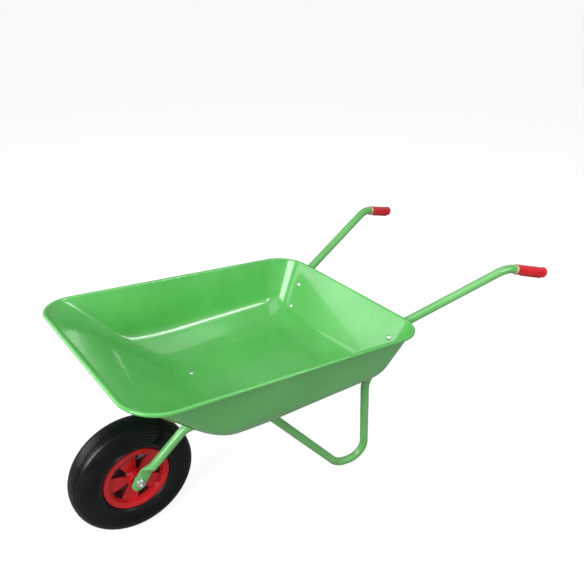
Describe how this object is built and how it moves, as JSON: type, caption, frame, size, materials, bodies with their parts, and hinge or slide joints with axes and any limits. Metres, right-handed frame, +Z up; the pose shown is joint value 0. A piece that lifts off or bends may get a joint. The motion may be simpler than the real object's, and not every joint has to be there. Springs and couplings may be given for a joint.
{
  "type": "wheelbarrow",
  "caption": "Single-wheel garden wheelbarrow with a green pressed steel tray, bent tube frame and legs, red grips and a spoked red wheel with a pneumatic tyre",
  "frame": {"origin": "On the ground, under the middle of the object's bounding box", "axes": "+X points along the object's length from the wheel towards the handles, +Y is the pusher's right, along the wheel axle, +Z is up"},
  "size_m": [1.4391, 0.7006, 0.6237],
  "materials": {
    "green_paint": "gloss",
    "red_plastic": "gloss",
    "pale_plastic": "satin",
    "black_plastic": "matte",
    "tyre_rubber": "matte",
    "valve_rubber": "matte",
    "zinc_steel": "satin",
    "bearing_steel": "polished"
  },
  "bodies": {
    "frame": {"tray": "green_paint", "frame_tube_left": "green_paint", "frame_tube_right": "green_paint", "grip_left": "red_plastic", "grip_right": "red_plastic", "grip_ring_left": "pale_plastic", "grip_ring_right": "pale_plastic", "axle": "zinc_steel", "axle_nuts": "zinc_steel", "axle_washers": "zinc_steel", "axle_spacer_left": "zinc_steel", "axle_spacer_right": "zinc_steel", "hub_sleeve": "zinc_steel", "bearing_inner_left": "bearing_steel", "bearing_inner_right": "bearing_steel", "wall_bolts": "zinc_steel", "wall_washers": "zinc_steel", "wall_nuts": "zinc_steel", "floor_bolts": "zinc_steel", "floor_washers": "zinc_steel", "floor_nuts": "zinc_steel"},
    "wheel": {"wheel_rim": "red_plastic", "tyre": "tyre_rubber", "inner_tube": "valve_rubber", "valve_stem": "valve_rubber", "valve_cap": "black_plastic", "bearing_outer_left": "bearing_steel", "bearing_outer_right": "bearing_steel", "bearing_balls_left": "bearing_steel", "bearing_balls_right": "bearing_steel"}
  },
  "joints": [
    {"name": "wheel_spin", "type": "hinge", "parent": "frame", "child": "wheel", "pos_m": [-0.54156, 0, 0.178], "axis": [0, -1, 0], "continuous": true}
  ]
}
